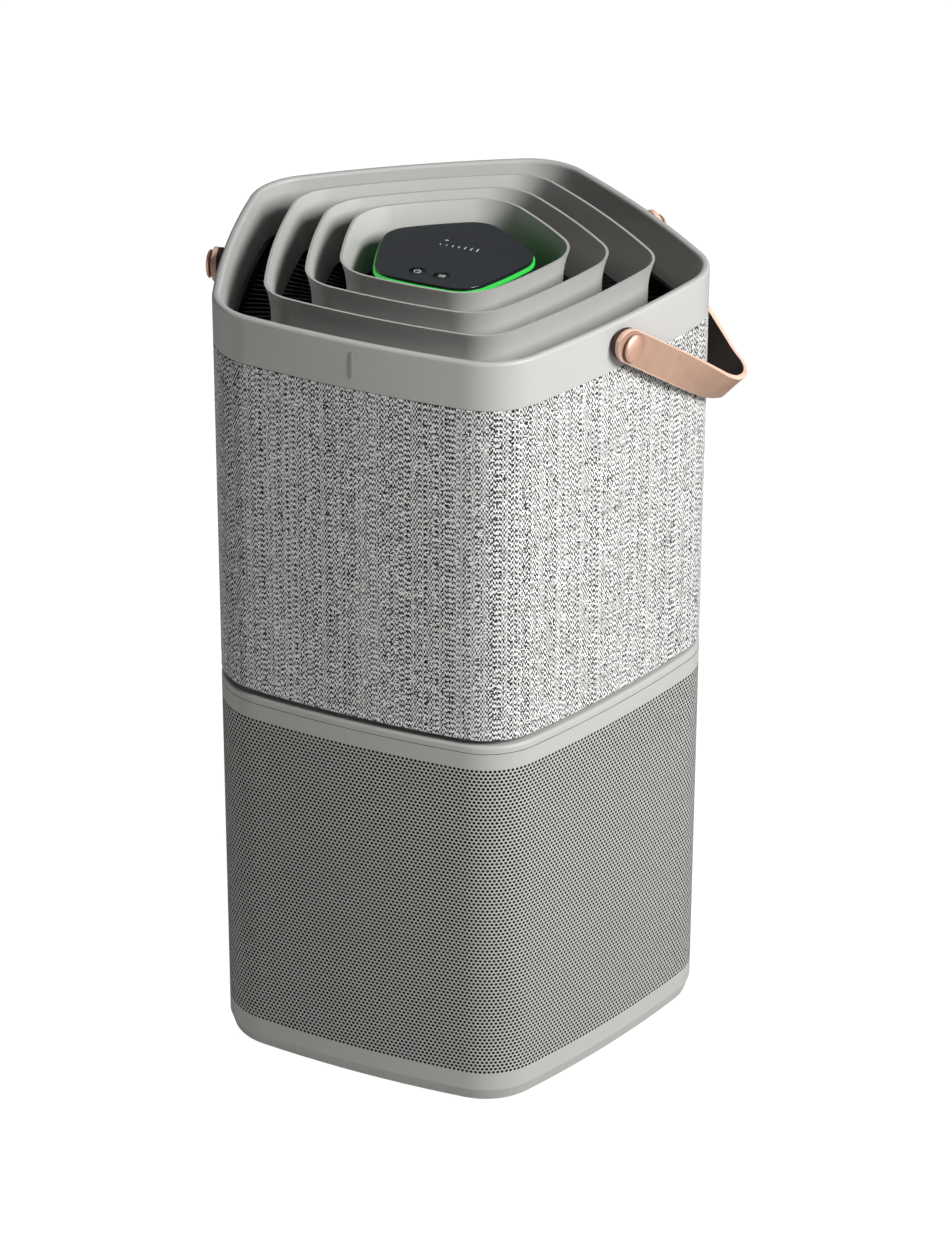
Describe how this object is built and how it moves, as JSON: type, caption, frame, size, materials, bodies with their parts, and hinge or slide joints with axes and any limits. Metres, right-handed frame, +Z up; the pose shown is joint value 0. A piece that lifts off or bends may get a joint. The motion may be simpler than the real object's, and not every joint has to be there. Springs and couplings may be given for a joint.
{
  "type": "air purifier",
  "caption": "Floor-standing five-sided air purifier with a perforated lower shell, fabric middle, concentric louvred outlet, glass control panel, pull-off rear door and leather strap handles.",
  "frame": {"origin": "centre of the five-sided base, on the floor (underside of the middle pad)", "axes": "+Z up; -Y out of the front side, the one with the badge; +Y towards the back corner; the part is symmetric about the YZ plane apart from the inlet, sensor and boards"},
  "size_m": [0.3962, 0.3368, 0.5971],
  "materials": {
    "shell": "satin",
    "dark_plastic": "matte",
    "rubber": "matte",
    "frame_plastic": "matte",
    "steel": "satin",
    "magnet": "polished",
    "filter_plastic": "matte",
    "foam": "matte",
    "filter_paper": "matte",
    "carbon": "matte",
    "mesh": "matte",
    "ribbon": "matte",
    "shaft_steel": "polished",
    "stator": "matte",
    "bearing_steel": "polished",
    "sleeve": "woven",
    "black_plastic": "satin",
    "light_guide": "diffuse",
    "panel_glass": "gloss",
    "gloss_black": "gloss",
    "circuit_board": "satin",
    "silicone": "matte",
    "led": "diffuse",
    "pins": "polished",
    "cable": "matte",
    "badge": "satin",
    "leather": "smooth",
    "rivet": "polished"
  },
  "bodies": {
    "housing": {"air_sensor": "dark_plastic", "badge": "badge", "base_plate": "dark_plastic", "base_ring": "shell", "board_carrier": "frame_plastic", "button_domes": "silicone", "chassis": "frame_plastic", "control_pod": "black_plastic", "diffuser": "frame_plastic", "display_board": "circuit_board", "display_cable": "cable", "display_leds": "led", "door_strikes": "steel", "fabric_sleeve": "sleeve", "fan_duct": "frame_plastic", "feet": "rubber", "filter_cap_bottom": "filter_plastic", "filter_cap_top": "filter_plastic", "filter_carbon": "carbon", "filter_gasket": "foam", "filter_media": "filter_paper", "filter_prefilter": "mesh", "filter_pull_tab": "ribbon", "handle_collars": "steel", "handle_nuts": "steel", "handle_rivets": "rivet", "inlet_bell": "frame_plastic", "inlet_pins": "pins", "light_ring": "light_guide", "louvre_ring_inner": "shell", "louvre_ring_middle": "shell", "louvre_ring_outer": "shell", "louvre_spider": "black_plastic", "lower_shell": "shell", "main_board": "circuit_board", "motor_bearings": "bearing_steel", "motor_grommets": "rubber", "motor_stator": "stator", "outlet_grille": "black_plastic", "panel_glass": "panel_glass", "power_inlet": "dark_plastic", "power_supply": "dark_plastic", "rim": "shell", "screws": "steel", "upper_shell": "frame_plastic", "waist_ring": "shell"},
    "fan": {"impeller": "frame_plastic", "motor_can": "steel", "motor_shaft": "shaft_steel"},
    "power_key": {"button_power": "gloss_black"},
    "mode_key": {"button_mode": "gloss_black"},
    "door": {"rear_door": "shell", "door_grip": "dark_plastic", "door_magnets": "magnet"},
    "right_strap": {"strap_right": "leather"},
    "left_strap": {"strap_left": "leather"},
    "right_front_tab": {"tab_right_front": "leather"},
    "right_rear_tab": {"tab_right_rear": "leather"},
    "left_front_tab": {"tab_left_front": "leather"},
    "left_rear_tab": {"tab_left_rear": "leather"}
  },
  "joints": [
    {"name": "fan_spin", "type": "hinge", "parent": "housing", "child": "fan", "pos_m": [0, 0, 0.36], "axis": [0, 0, 1], "continuous": true},
    {"name": "power_press", "type": "slide", "parent": "housing", "child": "power_key", "axis": [0, 0, -1], "range_m": [0, 0.0007], "stiffness_N_per_m": 1500},
    {"name": "mode_press", "type": "slide", "parent": "housing", "child": "mode_key", "axis": [0, 0, -1], "range_m": [0, 0.0007], "stiffness_N_per_m": 1500},
    {"name": "door_pull", "type": "slide", "parent": "housing", "child": "door", "axis": [0, 1, 0], "range_m": [0, 0.2]},
    {"name": "right_strap_lift", "type": "hinge", "parent": "housing", "child": "right_strap", "pos_m": [0.12642, 0.04108, 0.5725], "axis": [0.309, -0.9511, 0], "range_deg": [0, 66]},
    {"name": "right_front_twist", "type": "hinge", "parent": "right_strap", "child": "right_front_tab", "pos_m": [0.15626, -0.05077, 0.5725], "axis": [0.3273, 0.8668, -0.3761], "range_deg": [0, 52.84]},
    {"name": "right_rear_twist", "type": "hinge", "parent": "right_strap", "child": "right_rear_tab", "pos_m": [0.09657, 0.13292, 0.5725], "axis": [-0.7743, 0.5089, 0.3761], "range_deg": [0, 52.84]},
    {"name": "left_strap_lift", "type": "hinge", "parent": "housing", "child": "left_strap", "pos_m": [-0.12642, 0.04108, 0.5725], "axis": [0.309, 0.9511, 0], "range_deg": [0, 66]},
    {"name": "left_front_twist", "type": "hinge", "parent": "left_strap", "child": "left_front_tab", "pos_m": [-0.15626, -0.05077, 0.5725], "axis": [0.3273, -0.8668, 0.3761], "range_deg": [0, 52.84]},
    {"name": "left_rear_twist", "type": "hinge", "parent": "left_strap", "child": "left_rear_tab", "pos_m": [-0.09657, 0.13292, 0.5725], "axis": [-0.7743, -0.5089, -0.3761], "range_deg": [0, 52.84]}
  ],
  "couplings": [
    {"joint": "right_front_twist", "follows": "right_strap_lift", "ratio": 0.79304},
    {"joint": "right_rear_twist", "follows": "right_strap_lift", "ratio": 0.79304},
    {"joint": "left_front_twist", "follows": "left_strap_lift", "ratio": 0.79304},
    {"joint": "left_rear_twist", "follows": "left_strap_lift", "ratio": 0.79304}
  ]
}
